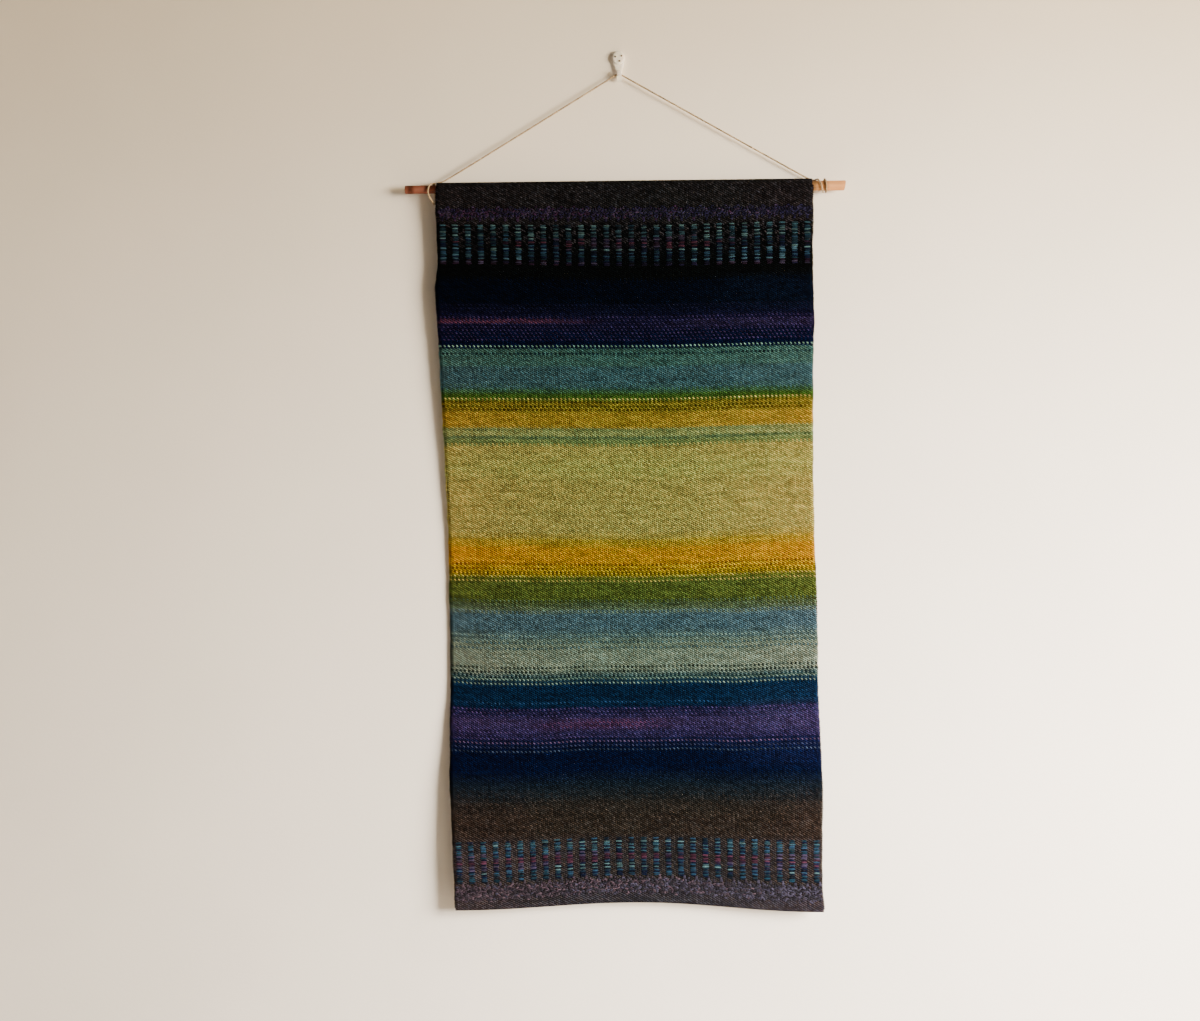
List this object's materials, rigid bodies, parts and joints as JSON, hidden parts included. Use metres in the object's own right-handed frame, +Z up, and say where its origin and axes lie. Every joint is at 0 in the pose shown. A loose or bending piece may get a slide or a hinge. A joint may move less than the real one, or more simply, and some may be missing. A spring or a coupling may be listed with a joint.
{
  "type": "woven wool wall rug on a hanging rod with a wall hook",
  "caption": "Narrow weft-faced wool wall rug with graded stripes, bar and braid borders, a rod in its top sleeve and a cord over a small wall hook.",
  "frame": {"origin": "on the wall plane, behind the middle of the wall hook's flat back", "axes": "+Z up, +X to the right as the face of the rug is seen, -Y away from the wall, the way the face looks"},
  "size_m": [0.5352, 0.0226, 1.0472],
  "materials": {
    "wool_cloth": "weft-faced wool weave, matte, with graded stripes",
    "rod_wood": "oiled wood, darker at the left end",
    "cord_twine": "thin twisted twine",
    "hook_plastic": "moulded off-white plastic",
    "pin_steel": "plain steel pin heads"
  },
  "bodies": {
    "root": {"cloth": "wool_cloth", "rod": "rod_wood", "hanging_cord": "cord_twine", "hook": "hook_plastic", "hook_pin_left": "pin_steel", "hook_pin_right": "pin_steel", "hook_pin_low": "pin_steel"}
  },
  "joints": []
}
